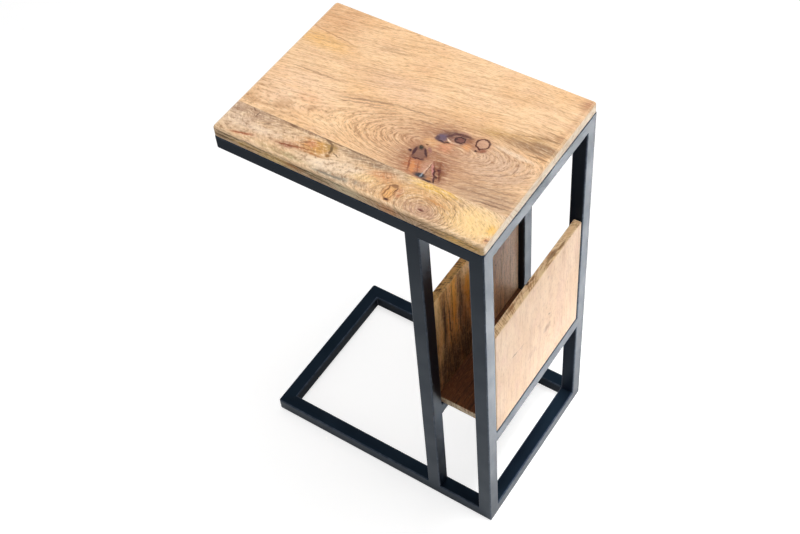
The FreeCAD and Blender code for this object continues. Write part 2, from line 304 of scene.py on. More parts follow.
class FinishNodes(PatternNodes):
    """The node tree of one material, which ends in one principled shader."""

    def __init__(self, name: str) -> None:
        """Start the material.

        Args:
            name: Name of the material.
        """
        self.material = bpy.data.materials.new(name)
        self.material.use_nodes = True
        super().__init__(self.material.node_tree)
        self.tree.nodes.clear()
        surface = self.add("BsdfPrincipled", "BSDF", {})
        self.shader = surface.node
        self.fill(self.tree.nodes.new("ShaderNodeOutputMaterial"), {"Surface": surface})

    def complete(self, settings: dict[str | int, Input], height: Socket, depth: float) -> Material:
        """Set the shader and raise the surface.

        Args:
            settings: Values of the shader's inputs.
            height: Height of each point, from 0 to 1.
            depth: Metres that a height of 1 stands for.

        Returns:
            The finished material.
        """
        normal = self.add("Bump", "Normal", {"Strength": 1.0, "Distance": depth, "Height": height})
        self.fill(self.shader, settings | {"Normal": normal})
        return self.material


@dataclass(frozen=True)
class GrowthRings:
    """How a board lies in the log, in millimetres.

    The rings close in ovals round a heart. Sway and wobble bend them, and both the rings and the lively
    flecks fade away from the heart.
    """

    heart: Point
    depth: float
    reach: float
    face: float
    power: float = 1.0
    tilt: float = 0.0
    spacing: float = 5.0
    strength: float = 0.0
    slope: float = 0.8
    sway: float = 12.0
    wobble: float = 2.6
    unevenness: float = 9.0
    crest: Point = (0.35, 1.0)
    fade: Point = (74.0, 20.0)
    lively: Point = (64.0, 22.0)


@dataclass(frozen=True)
class Stain:
    """A patch or line of another colour in the wood."""

    centre: Point
    half_size: Point
    colour: ScreenColour
    strength: float
    turn: float = 0.0


@dataclass(frozen=True)
class Knot:
    """The scar of a branch: a core, a dark rim of bark and a tinted ring of wood round it."""

    centre: Point
    half_size: Point
    turn: float
    core: ScreenColour
    core_strength: float
    rim: ScreenColour
    rim_strength: float
    halo: ScreenColour
    halo_strength: float
    rim_width: float = 0.22


class BoardNodes(FinishNodes):
    """The material of one board, with the places and the noise that several layers of its figure read."""

    def __init__(self, name: str, grain: GrainAxis, rings: GrowthRings) -> None:
        """Lay out the board.

        Args:
            name: Name of the material.
            grain: Axes along, across and through the board.
            rings: How the board lies in the log.
        """
        super().__init__(name)
        self.rings = rings
        place = self.split(self.object_place())
        self.along, self.across, self.through = (place[axis] for axis in grain.value)
        unrolled = self.math("ADD", self.across, self.math("SUBTRACT", self.through, rings.face))
        self.flat = self.join(self.along, unrolled, 0.0)
        self.board = self.join(self.along, self.across, self.through)
        self.ring = self.ring_distance()
        self.grain = self.join(self.along, self.ring, unrolled)
        self.patches = self.pattern(self.board, PATCHES)
        self.blots = self.pattern(self.board, BLOTS)
        self.lines = self.pattern(self.grain, LINES)
        self.flecks = self.pattern(self.grain, FLECKS)

    def ring_distance(self) -> Socket:
        """Work out how far a point lies from the heart of the log.

        Returns:
            The distance in millimetres, which is the same all along one growth ring.
        """
        rings = self.rings
        from_heart = self.math("SUBTRACT", self.along, rings.heart[0])
        offset = self.math("DIVIDE", self.math("ABSOLUTE", from_heart), rings.reach)
        share = self.math("POWER", offset, rings.power)
        fading = self.math("EXPONENT", self.math("MULTIPLY", share, -1.0))
        sunk = self.math("MULTIPLY_ADD", fading, -rings.depth, rings.depth)
        below = self.math("SUBTRACT", rings.face, self.through)
        deep = self.math("MULTIPLY_ADD", below, rings.slope, sunk)
        sway = self.pattern(self.board, RING_SWAY)
        wobble = self.pattern(self.board, RING_WOBBLE)
        drift = self.math("MULTIPLY_ADD", sway, rings.sway, self.math("MULTIPLY", wobble, rings.wobble))
        mean_drift = (rings.sway + rings.wobble) / 2
        middle = self.math("MULTIPLY_ADD", from_heart, rings.tilt, rings.heart[1] + mean_drift)
        side = self.math("ADD", self.math("SUBTRACT", self.across, middle), drift)
        squares = [self.math("MULTIPLY", leg, leg) for leg in (side, deep)]
        return self.math("SQRT", self.math("ADD", *squares))

    def ring_share(self) -> Socket:
        """Draw single growth rings round the heart, uneven, broken and fading outwards.

        Returns:
            Share of the line colour.
        """
        rings = self.rings
        counted = self.math("MULTIPLY", self.ring, math.tau / rings.spacing)
        turns = self.math("MULTIPLY_ADD", self.patches, rings.unevenness, counted)
        crest = self.ramp(self.math("SINE", turns), *rings.crest, 0.0, rings.strength)
        unbroken = self.ramp(self.lines, *UNBROKEN_LINES, 0.2, 1.0)
        kept = self.math("MULTIPLY", self.ramp(self.ring, *rings.fade), unbroken)
        return self.math("MULTIPLY", crest, kept)

    def ragged(self, place: Socket, stray: float, size: float) -> Socket:
        """Move a place on the board a little this way and that.

        Args:
            place: The place.
            stray: How far it moves at most.
            size: Length of one wave of the movement.

        Returns:
            The moved place.
        """
        waves = self.pattern(place, Waves((size, size, size)), "Color")
        shift = self.vector("MULTIPLY", waves, (2 * stray, 2 * stray, 0.0))
        return self.vector("ADD", place, self.vector("SUBTRACT", shift, (stray, stray, 0.0)))

    def lay_stains(self, colour: Socket, place: Socket, stains: tuple[Stain, ...], rim: Point,
                   kept: Socket) -> Socket:
        """Lay patches or lines over the board's colour.

        Args:
            colour: The colour so far.
            place: Place along and across the board.
            stains: The patches.
            rim: Where a patch begins and where it is full, in its half sizes.
            kept: Share of each patch that shows.

        Returns:
            The stained colour.
        """
        for stain in stains:
            distance = self.spot(place, stain.centre, stain.half_size, stain.turn)
            share = self.math("MULTIPLY", self.ramp(distance, *rim, 0.0, stain.strength), kept)
            colour = self.mix(share, colour, paint(*stain.colour))
        return colour

    def lay_knots(self, colour: Socket, place: Socket, knots: tuple[Knot, ...], kept: Socket) -> Socket:
        """Lay knots over the board's colour.

        Args:
            colour: The colour so far.
            place: Place along and across the board.
            knots: The knots.
            kept: Share of their cores and rims that shows.

        Returns:
            The colour with the knots in it.
        """
        for knot in knots:
            distance = self.spot(place, knot.centre, knot.half_size, knot.turn)
            halo = self.ramp(distance, *KNOT_HALO, 0.0, knot.halo_strength)
            colour = self.mix(halo, colour, paint(*knot.halo))
            core = self.math("MULTIPLY", self.ramp(distance, *KNOT_CORE, 0.0, knot.core_strength), kept)
            colour = self.mix(core, colour, paint(*knot.core))
            from_rim = self.math("ABSOLUTE", self.math("SUBTRACT", distance, KNOT_RIM))
            rim = self.ramp(from_rim, knot.rim_width, KNOT_RIM_FULL * knot.rim_width, 0.0, knot.rim_strength)
            colour = self.mix(self.math("MULTIPLY", rim, kept), colour, paint(*knot.rim))
        return colour


@dataclass(frozen=True)
class WoodFinish:
    """One lacquered board with its own figure."""

    name: str
    grain: GrainAxis
    rings: GrowthRings
    pale: Colour
    warm: Colour
    line: Colour
    band: Colour
    line_strength: float
    band_strength: float
    fleck_strength: float = 0.3
    heart_flecks: float = 2.0
    pale_flecks: float = 0.8
    pore_strength: float = 0.5
    outer_pores: float = 0.6
    fleck_pores: float = 0.16
    curl_strength: float = 0.12
    least_curl: float = 0.3
    curl_turn: float = -50.0
    blush: Colour = paint(226, 180, 150)
    blush_strength: float = 0.3
    end_pale: Colour = paint(255, 238, 214)
    end_dark: Colour = paint(228, 198, 166)
    end_strength: float = 0.85
    stains: tuple[Stain, ...] = ()
    tints: tuple[Stain, ...] = ()
    face_tints_and_painted_shade: tuple[Stain, ...] = ()
    face_depth: Point = (8.0, 3.0)
    knots: tuple[Knot, ...] = ()
    marks: tuple[Stain, ...] = ()
    end_marks: tuple[Stain, ...] = ()
    gleam: Colour = paint(252, 226, 190)
    edge_lightening: Point = (0.05, 0.25)
    pore: Colour = paint(112, 74, 44)
    pore_relief: float = -1.4
    pore_depth: float = 0.2 * MM
    roughness: Point = (0.42, 0.6)
    specular: float = 0.35

    def build(self) -> Material:
        """Make the board's material.

        Returns:
            The finished material.
        """
        nodes = BoardNodes(self.name, self.grain, self.rings)
        colour = self.lay_ground(nodes)
        colour = self.lay_streaks(nodes, colour)
        colour = self.lay_flecks(nodes, colour)
        colour = self.lay_scars(nodes, colour)
        pores = self.pore_share(nodes)
        dusky = nodes.ramp(nodes.flecks, *FLECKS.shows, 0.0, self.fleck_pores)
        for share in (dusky, pores):
            colour = nodes.mix(share, colour, self.pore)
        colour = self.lay_ends(nodes, colour)
        wear = nodes.ramp(nodes.patches, *RUBBED_PATCHES, *self.edge_lightening)
        colour = nodes.mix(nodes.math("MULTIPLY", nodes.face_mark(EDGE_MARK), wear), colour, self.gleam)
        half_flecks = nodes.math("MULTIPLY", nodes.flecks, 0.5)
        gloss = nodes.math("MULTIPLY_ADD", nodes.lines, 0.5, half_flecks)
        settings = {"Base Color": colour, "Roughness": nodes.ramp(gloss, *GLOSS_LEVELS, *self.roughness),
                    "Specular IOR Level": self.specular}
        relief = nodes.math("MULTIPLY_ADD", pores, self.pore_relief, half_flecks)
        return nodes.complete(settings, relief, self.pore_depth)

    def lay_ground(self, nodes: BoardNodes) -> Socket:
        """Lay the two ground colours, the blush and the bands.

        Args:
            nodes: The board's material.

        Returns:
            The ground colour.
        """
        colour = nodes.mix(nodes.ramp(nodes.patches, *PATCHES.shows), self.pale, self.warm)
        blush = nodes.ramp(nodes.blots, *BLOTS.shows, 0.0, self.blush_strength)
        colour = nodes.mix(blush, colour, self.blush)
        bands = nodes.ramp(nodes.pattern(nodes.grain, BANDS), *BANDS.shows, 0.0, self.band_strength)
        return nodes.mix(bands, colour, self.band)

    def lay_streaks(self, nodes: BoardNodes, colour: Socket) -> Socket:
        """Lay stains under the grain lines and rings, and tints over them.

        Args:
            nodes: The board's material.
            colour: The colour so far.

        Returns:
            The streaked colour.
        """
        ragged = nodes.ragged(nodes.flat, *STAIN_STRAY)
        streaky = nodes.ramp(nodes.pattern(nodes.grain, STREAKS), *STREAKS.shows, 0.4, 1.0)
        colour = nodes.lay_stains(colour, ragged, self.stains, STAIN_RIM, streaky)
        colour = nodes.mix(nodes.ramp(nodes.lines, *LINES.shows, 0.0, self.line_strength), colour, self.line)
        colour = nodes.mix(nodes.ring_share(), colour, self.line)
        colour = nodes.lay_stains(colour, ragged, self.tints, STAIN_RIM, streaky)
        # Face tints lie only near the board's face. On the inner panel they hold wood tints and painted shade
        # in the slot.
        near_face = nodes.ramp(nodes.through, *(self.rings.face - depth for depth in self.face_depth))
        shallow = nodes.math("MULTIPLY", near_face, streaky)
        return nodes.lay_stains(colour, ragged, self.face_tints_and_painted_shade, STAIN_RIM, shallow)

    def lay_flecks(self, nodes: BoardNodes, colour: Socket) -> Socket:
        """Lay dark and pale flecks along the grain and curls across it.

        Args:
            nodes: The board's material.
            colour: The colour so far.

        Returns:
            The flecked colour.
        """
        most = self.heart_flecks * self.fleck_strength
        lively = nodes.ramp(nodes.ring, *self.rings.lively, self.fleck_strength, most)
        dark = nodes.math("MULTIPLY", nodes.ramp(nodes.flecks, *FLECKS.shows), lively)
        pale = nodes.ramp(nodes.flecks, *PALE_FLECKS, 0.0, self.pale_flecks * self.fleck_strength)
        colour = nodes.mix(pale, nodes.mix(dark, colour, self.line), self.gleam)
        curl = nodes.noise(nodes.mapped(nodes.flat, (0.0, 0.0), self.curl_turn, CURL.size), CURL)
        least = self.least_curl * self.curl_strength
        curly = nodes.ramp(nodes.blots, *CURLY_BLOTS, least, self.curl_strength)
        for shows, over in ((CURL.shows, self.line), (PALE_CURL, self.gleam)):
            colour = nodes.mix(nodes.math("MULTIPLY", nodes.ramp(curl, *shows), curly), colour, over)
        return colour

    def lay_scars(self, nodes: BoardNodes, colour: Socket) -> Socket:
        """Lay the knots and the marks, with crumbled outlines.

        Args:
            nodes: The board's material.
            colour: The colour so far.

        Returns:
            The scarred colour.
        """
        close = nodes.ragged(nodes.flat, *MARK_STRAY)
        crumbled = nodes.ramp(nodes.pattern(close, CRUMBS), *CRUMBS.shows, 0.7, 1.0)
        colour = nodes.lay_knots(colour, close, self.knots, crumbled)
        return nodes.lay_stains(colour, close, self.marks, MARK_RIM, crumbled)

    def pore_share(self, nodes: BoardNodes) -> Socket:
        """Work out where pores are open, more of them near the heart.

        Args:
            nodes: The board's material.

        Returns:
            Share of the pore colour.
        """
        pores = nodes.ramp(nodes.pattern(nodes.grain, PORES), *PORES.shows)
        least = self.outer_pores * self.pore_strength
        kept = nodes.ramp(nodes.ring, *self.rings.lively, least, self.pore_strength)
        return nodes.math("MULTIPLY", pores, kept)

    def lay_ends(self, nodes: BoardNodes, colour: Socket) -> Socket:
        """Lay the end grain and its marks over the sawn ends.

        Args:
            nodes: The board's material.
            colour: The colour so far.

        Returns:
            The colour with the ends.
        """
        half_spots = nodes.math("MULTIPLY", nodes.pattern(nodes.board, END_SPOTS), 0.5)
        share = nodes.math("MULTIPLY_ADD", nodes.lines, 0.5, half_spots)
        end_colour = nodes.mix(nodes.ramp(share, *END_SPOTS.shows), self.end_pale, self.end_dark)
        sawn = nodes.face_mark(END_MARK)
        colour = nodes.mix(nodes.math("MULTIPLY", sawn, self.end_strength), colour, end_colour)
        place = nodes.ragged(nodes.join(nodes.across, nodes.through, 0.0), *END_STRAY)
        return nodes.lay_stains(colour, place, self.end_marks, END_RIM, sawn)


@dataclass(frozen=True)
class SatinCoat:
    """Black satin powder coat, lighter on its edges by wear and by a painted highlight."""

    name: str
    colour: Colour
    dusty: Colour
    edge_wear_and_highlight: Colour
    roughness: Point
    dust_strength: float = 0.7
    edge_lightening: Point = (0.3, 0.9)
    specular: float = 0.3
    mirror_tint: Colour = (0.26, 0.6, 1.0, 1.0)
    peel_depth: float = 0.02 * MM

    def build(self) -> Material:
        """Make the coat's material.

        Returns:
            The finished material.
        """
        nodes = FinishNodes(self.name)
        place = nodes.object_place()
        clouds = nodes.pattern(place, CLOUDS)
        dust = nodes.ramp(clouds, *CLOUDS.shows, 0.0, self.dust_strength)
        # The lighter colour on the rounded edges is partly wear and partly a painted highlight along them.
        scuffs_and_highlights = nodes.ramp(nodes.pattern(place, SCUFFS_AND_HIGHLIGHTS), *SCUFFS_AND_HIGHLIGHTS.shows, *self.edge_lightening)
        wear_and_highlight_share = nodes.math("MULTIPLY", nodes.face_mark(EDGE_MARK), scuffs_and_highlights)
        colour = nodes.mix(wear_and_highlight_share, nodes.mix(dust, self.colour, self.dusty), self.edge_wear_and_highlight)
        settings = {"Base Color": colour, "Roughness": nodes.ramp(clouds, *COAT_GLOSS, *self.roughness),
                    "Specular IOR Level": self.specular, "Specular Tint": self.mirror_tint}
        return nodes.complete(settings, nodes.pattern(place, PEEL), self.peel_depth)


@dataclass(frozen=True)
class SmallPartFinish:
    """Plated steel, raw dowel wood or moulded plastic of the small parts."""

    name: str
    colour: Colour
    second: Colour
    metallic: float
    roughness: Point
    grain: Triple
    relief: float = 0.03 * MM

    def build(self) -> Material:
        """Make the small part's material.

        Returns:
            The finished material.
        """
        nodes = FinishNodes(self.name)
        grain = nodes.pattern(nodes.object_place(), Waves(self.grain, 3.0, 0.6))
        colour = nodes.mix(nodes.ramp(grain, *SMALL_GRAIN), self.colour, self.second)
        settings = {"Base Color": colour, "Roughness": nodes.ramp(grain, *GLOSS_LEVELS, *self.roughness),
                    "Metallic": self.metallic}
        return nodes.complete(settings, grain, self.relief)


# Figure of the boards, in millimetres along and across each, with colours as a screen shows them. Among it
# lie one painted highlight on the wide board and painted shade in the rack's slot.
WIDE_BOARD_STAINS = (
    Stain((-185, 115), (60, 40), (216, 162, 116), 0.65),
    Stain((-172, 64), (48, 15), (240, 188, 116), 0.75),
    Stain((-72, 94), (30, 6), (186, 144, 106), 0.55, 7),
    Stain((-60, 45), (60, 18), (230, 186, 144), 0.5),
    Stain((-123, -36), (17, 12), (228, 162, 104), 0.75),
    Stain((-150, -30), (64, 44), (248, 212, 180), 0.5),
    Stain((-20, 34), (60, 26), (246, 208, 176), 0.5),
    Stain((-20, -20), (50, 30), (228, 184, 144), 0.5),
    Stain((142, 33), (62, 10), (194, 152, 92), 0.9, 13),
    Stain((180, 30), (42, 12), (158, 122, 90), 1.0, 6),
    Stain((188, 54), (24, 8), (180, 138, 96), 0.8, 8),
    Stain((197, 92), (5, 48), (206, 160, 122), 0.6),
    Stain((196, 128), (10, 16), (186, 130, 94), 0.9),
    Stain((160, -68), (66, 22), (180, 144, 112), 0.85),
    Stain((150, -22), (50, 40), (196, 158, 126), 0.8),
    Stain((66, -42), (80, 62), (204, 156, 120), 0.9),
)
WIDE_BOARD_TINTS = (
    Stain((76, -34), (50, 56), (178, 126, 94), 0.75),
    Stain((77, -2), (36, 14), (158, 108, 80), 0.9, 8),
    Stain((72, -4), (15, 9), (96, 58, 52), 1.0, 20),
    Stain((97, -2), (10, 8), (122, 74, 48), 1.0),
    Stain((106, -5), (12, 9), (150, 88, 56), 0.95),
    Stain((101, -12), (6, 6), (230, 152, 82), 0.85),
    Stain((77, -24), (11, 10), (222, 140, 100), 0.75),
    Stain((57, -26), (11, 8), (234, 176, 114), 0.65),
    Stain((70, -64), (44, 32), (154, 102, 73), 0.95),
    Stain((60, -69), (18, 13), (186, 108, 62), 1.0, -50),
    Stain((93, -64), (21, 11), (128, 64, 36), 1.0, -62),
    Stain((76, -64), (17, 6), (206, 152, 126), 0.9, 90),
    Stain((55, -47), (13, 12), (124, 82, 66), 1.0),
    Stain((152, -22), (50, 30), (214, 178, 150), 0.75),
    Stain((168, -70), (50, 18), (190, 154, 124), 0.7, 8),
    Stain((176, 29), (40, 9), (150, 114, 80), 0.75, 6),
)
WIDE_BOARD_MARKS_AND_HIGHLIGHT = (
    Stain((-165, 80), (40, 1.3), (176, 122, 82), 0.6, -7),
    Stain((-142, 8), (42, 1.6), (164, 124, 92), 0.6, 3),
    Stain((-52, -2), (48, 1.8), (154, 118, 88), 0.65, 17),
    Stain((-60, -10), (38, 1.4), (162, 124, 94), 0.6, 17),
    Stain((-30, -6), (26, 1.2), (162, 124, 94), 0.5, 14),
    Stain((10, 11), (28, 1.5), (152, 116, 88), 0.65, 6),
    Stain((34, 1), (18, 1.1), (150, 114, 86), 0.7, 10),
    Stain((65.5, -11.5), (8, 7.6), (102, 82, 100), 1.0, 15),
    Stain((60.5, -14.5), (4, 4), (68, 46, 62), 0.8),
    Stain((68, -17.5), (8, 1.8), (54, 34, 44), 0.95),
    Stain((75.5, -15.5), (4.2, 2.0), (52, 26, 24), 0.95),
    Stain((73, -3.5), (7, 2.6), (84, 46, 44), 0.9, 50),
    Stain((80, 3), (7, 2.2), (98, 58, 54), 0.8, 25),
    Stain((87, 4), (15, 2.6), (82, 40, 38), 0.9, 6),
    Stain((88, 8), (9, 1.4), (172, 126, 120), 0.6, 5),
    Stain((76, -11.5), (5, 1.3), (240, 206, 176), 0.9, -25),
    Stain((85, -12.5), (7, 1.2), (226, 186, 156), 0.7, 4),
    Stain((82.5, -5), (2.2, 2.6), (62, 26, 28), 0.9),
    Stain((88.5, -9.5), (6, 1.4), (74, 36, 32), 0.9, 4),
    Stain((121, -8), (7, 3.4), (142, 82, 56), 0.8, 30),
    Stain((114.6, -5.4), (4.6, 1.5), (80, 22, 16), 1.0, -32),
    Stain((114, -11), (3, 2), (56, 16, 12), 1.0),
    Stain((122.5, -6), (5, 2.6), (150, 92, 66), 0.8, 40),
    Stain((55.5, -30.8), (3, 1.1), (112, 66, 40), 0.9),
    Stain((52, -38.5), (4.4, 3.6), (40, 36, 24), 1.0),
    Stain((48, -48), (10, 2.2), (66, 22, 28), 1.0, 97),
    Stain((57, -57), (10, 1.7), (74, 28, 24), 1.0, 9),
    Stain((62, -44), (9.5, 2.0), (62, 22, 26), 1.0, -50),
    Stain((63.5, -37), (6, 2.4), (150, 98, 94), 0.7, -55),
    Stain((64, -55), (2.4, 2), (92, 52, 44), 0.8),
    Stain((42, -49.5), (3.2, 1.9), (62, 20, 24), 1.0),
    Stain((53, -69), (13, 1.5), (124, 60, 32), 0.85, -66),
    Stain((60, -72), (11, 3.4), (214, 142, 84), 0.75, -62),
    Stain((66.5, -70), (10, 1.2), (140, 80, 54), 0.7, -64),
    Stain((77.5, -65), (12, 1.0), (224, 188, 162), 0.8, 90),
    Stain((79.5, -66), (12, 0.8), (96, 58, 44), 0.85, 90),
    Stain((83, -58), (9, 1.1), (140, 78, 54), 0.8, -58),
    Stain((86, -66), (14, 1.4), (206, 136, 130), 0.8, -58),
    Stain((91, -71), (15, 1.8), (72, 22, 22), 1.0, -61),
    Stain((96, -66), (15, 2.0), (100, 44, 30), 0.95, -62),
    Stain((99.5, -70), (8, 1.2), (150, 100, 60), 0.7, -62),
    Stain((91, -61.5), (2.1, 2.0), (80, 24, 22), 1.0),
    Stain((95, -73), (2.4, 1.6), (64, 22, 20), 1.0, -30),
    Stain((75.5, -79.5), (9.5, 4.2), (48, 46, 52), 1.0),
    # Painted highlight: this blue-white line in the crack stands for a glint of light.
    Stain((77, -78), (1.3, 4.2), (150, 162, 172), 0.85),
    Stain((79.5, -79), (1.1, 4), (24, 20, 24), 0.9),
    Stain((88, -79), (2.4, 3.2), (186, 124, 76), 0.8, -50),
    Stain((88.5, -82.5), (8, 2.0), (44, 16, 14), 1.0),
    Stain((96, -80), (3.5, 1.3), (60, 26, 22), 1.0, -62),
    Stain((128, -47), (14, 1.1), (156, 116, 88), 0.65, 12),
    Stain((150, -38.5), (14, 1.2), (154, 116, 88), 0.7, 22),
    Stain((166, -29), (8, 1.3), (154, 116, 88), 0.7, 42),
    Stain((173.5, -17), (9, 1.3), (156, 118, 90), 0.65, 82),
    Stain((160, 7), (34, 4), (244, 216, 186), 0.6, -3),
    Stain((186, 16), (18, 1.3), (140, 100, 62), 0.8, 3),
    Stain((186, 50), (20, 1.4), (142, 104, 68), 0.7, 6),
    Stain((190, 61), (14, 1.2), (150, 110, 74), 0.7, -4),
    Stain((158, 43), (24, 1.3), (152, 114, 72), 0.6, 12),
    Stain((178, 68), (14, 1.2), (170, 130, 90), 0.6, 4),
    Stain((150, -48), (28, 1.0), (166, 128, 100), 0.5, 14),
    Stain((165, -57), (40, 1.2), (150, 114, 86), 0.65, 9),
    Stain((125, -62), (24, 1.0), (164, 124, 94), 0.5, 6),
    Stain((165, -68), (40, 1.3), (142, 106, 78), 0.7, 8),
    Stain((180, -73), (24, 1.2), (138, 102, 76), 0.75, 8),
    Stain((128, -74), (24, 1.1), (158, 118, 88), 0.5, 4),
    Stain((177, -78.5), (28, 1.5), (126, 90, 64), 0.8, 7),
)
WIDE_BOARD_KNOTS = (
    Knot((87.5, -4.5), (7, 5.4), 10, (116, 68, 60), 0.9, (48, 18, 20), 1.0, (150, 102, 86), 0.7),
    Knot((116, 3.5), (9, 9), 0, (206, 160, 132), 0.6, (84, 38, 26), 1.0, (196, 142, 108), 0.5),
    Knot((56, -48.5), (9.5, 9), -20, (128, 88, 72), 0.8, (84, 36, 32), 0.5, (164, 108, 80), 0.5),
)
NARROW_BOARD_STAINS = (
    Stain((106, -112), (54, 26), (206, 156, 96), 0.85),
    Stain((36, -110), (36, 18), (222, 172, 112), 0.6),
)
NARROW_BOARD_TINTS = (
    Stain((-172, -97), (66, 13), (176, 144, 122), 0.85),
    Stain((-165, -116), (54, 15), (222, 194, 168), 0.8),
    Stain((-132, -113), (28, 9), (226, 196, 168), 0.8, 10),
    Stain((-160, -130), (17, 3.2), (204, 132, 92), 0.9, 14),
    Stain((-95, -118), (24, 6.5), (164, 100, 74), 0.95, 10),
    Stain((-66, -104), (28, 13), (216, 148, 74), 1.0, 8),
    Stain((-58, -103), (20, 14), (204, 154, 80), 0.7),
    Stain((-72, -102), (9, 6), (206, 134, 96), 0.8),
    Stain((-47, -94), (14, 8), (168, 132, 74), 0.85, -40),
    Stain((-110, -87), (60, 3.5), (146, 112, 86), 0.85),
    Stain((10, -91), (52, 8), (146, 120, 96), 0.95, -2),
    Stain((-22, -119), (46, 9), (240, 216, 188), 0.9, 14),
    Stain((-10, -133), (40, 6), (150, 140, 124), 0.9, 4),
    Stain((-92, -134), (40, 5), (176, 156, 116), 0.85),
    Stain((36, -106), (20, 11), (206, 136, 84), 0.95, 24),
    Stain((22, -116), (22, 8), (238, 202, 146), 0.8, 14),
    Stain((104, -89), (36, 9), (246, 196, 88), 0.95),
    Stain((100, -104), (46, 9), (226, 176, 118), 0.8),
    Stain((107, -128), (30, 13), (186, 144, 122), 0.85),
    Stain((172, -112), (42, 26), (250, 208, 142), 0.85),
    Stain((198, -112), (9, 9), (246, 186, 76), 0.85),
    Stain((200, -129), (6, 6), (206, 120, 58), 0.8),
    Stain((59, -121), (8, 13), (230, 164, 90), 0.95),
    Stain((70, -117), (5, 9), (190, 110, 72), 0.85),
    Stain((-185, -149), (30, 4), (172, 138, 96), 0.9),
    Stain((-150, -148), (22, 4), (236, 190, 104), 0.9),
    Stain((-140, -143), (20, 1.6), (116, 76, 42), 0.9),
    Stain((-103, -149), (30, 8), (255, 220, 146), 0.9),
    Stain((-74, -147), (18, 4), (196, 132, 76), 0.9),
    Stain((-40, -145), (26, 4), (172, 148, 110), 0.9),
    Stain((5, -149), (32, 8), (232, 214, 176), 0.85),
    Stain((68, -149), (16, 9), (232, 156, 94), 0.9),
    Stain((172, -149), (38, 9), (255, 206, 118), 0.9),
)
NARROW_BOARD_MARKS = (
    Stain((-163, -93), (6.5, 1.2), (122, 92, 70), 0.8, 84),
    Stain((-172, -88), (5, 1.2), (126, 96, 74), 0.8, -40),
    Stain((-142, -101), (5, 1.6), (132, 104, 80), 0.8, 30),
    Stain((-162, -131), (18, 1.8), (152, 86, 50), 0.9, 14),
    Stain((-100, -119), (14, 1.6), (130, 70, 42), 0.9, 9),
    Stain((-84, -115), (26, 1.4), (142, 80, 46), 0.8, 12),
    Stain((-80, -103), (9, 1.6), (132, 84, 52), 0.8, 32),
    Stain((-60, -116), (18, 1.4), (168, 106, 50), 0.85, 3),
    Stain((-54, -88), (12, 2.2), (118, 88, 60), 0.85, -22),
    Stain((-44, -99), (8, 2.4), (106, 78, 42), 0.95, -70),
    Stain((-42, -109), (4.5, 2.8), (140, 94, 40), 0.9),
    Stain((-34, -103), (7, 1.3), (112, 80, 48), 0.85, -18),
    Stain((-110, -87), (8, 2.4), (126, 94, 68), 0.85),
    Stain((-20, -86), (74, 1.2), (116, 86, 62), 0.7),
    Stain((-24, -135), (26, 2.2), (120, 112, 98), 0.8, 4),
    Stain((60, -110), (5.5, 3.2), (138, 94, 60), 0.85, 10),
    Stain((61.5, -119), (9, 0.8), (150, 96, 52), 0.6, 84),
    Stain((64.5, -116), (6, 1.2), (104, 54, 28), 0.85, 80),
    Stain((57.5, -124), (7, 0.7), (160, 104, 60), 0.6, 96),
    Stain((54, -120), (9, 1.1), (112, 62, 30), 0.7, 88),
    Stain((50, -122), (10, 0.9), (172, 120, 76), 0.6, 88),
    Stain((61, -133), (3.6, 2.4), (64, 22, 12), 1.0),
    Stain((124, -96), (14, 1.0), (146, 96, 44), 0.75, -22),
    Stain((116, -108), (20, 2.2), (204, 142, 80), 0.7, -6),
    Stain((112, -111), (20, 1.0), (170, 118, 66), 0.6, -4),
    Stain((143, -106), (8, 1.0), (132, 88, 50), 0.75, -50),
    Stain((108, -127), (4.8, 2.1), (104, 44, 36), 1.0),
    Stain((147.5, -116), (8, 1.0), (136, 92, 54), 0.75, -80),
    Stain((163, -96), (9, 1.0), (180, 140, 100), 0.7, 86),
    Stain((178, -112), (32, 27), (250, 210, 146), 0.6),
    Stain((198, -112), (6, 6), (248, 190, 80), 0.5),
    Stain((199.5, -129), (2.4, 2.4), (120, 50, 28), 0.9),
    Stain((-178, -143), (26, 1.3), (92, 62, 34), 0.85, -1),
    Stain((-165, -146.5), (32, 1.2), (250, 224, 178), 0.8, 1),
    Stain((-186, -150), (18, 1.4), (104, 72, 40), 0.85),
    Stain((-140, -149.5), (24, 1.3), (120, 82, 40), 0.8, 1.5),
    Stain((-120, -143.5), (20, 1.1), (130, 88, 46), 0.7, 2),
    Stain((-96, -147), (26, 1.3), (168, 112, 56), 0.7, -1),
    Stain((-58, -145), (24, 1.5), (96, 76, 50), 0.8, 1),
    Stain((-38, -149.5), (26, 1.3), (110, 96, 68), 0.75, -1),
    Stain((-14, -143.5), (22, 1.2), (118, 104, 80), 0.75, 1),
    Stain((20, -147), (26, 1.2), (244, 226, 186), 0.7),
    Stain((44, -143.5), (14, 1.2), (150, 96, 56), 0.75),
    Stain((70, -148), (18, 1.4), (140, 84, 48), 0.75, 2),
    Stain((102, -145), (22, 1.1), (150, 104, 62), 0.7, -1),
    Stain((132, -150), (24, 1.3), (126, 84, 46), 0.75, -1),
    Stain((152, -144), (24, 1.1), (140, 98, 52), 0.7, 1),
    Stain((182, -148), (18, 1.1), (122, 80, 38), 0.75),
)

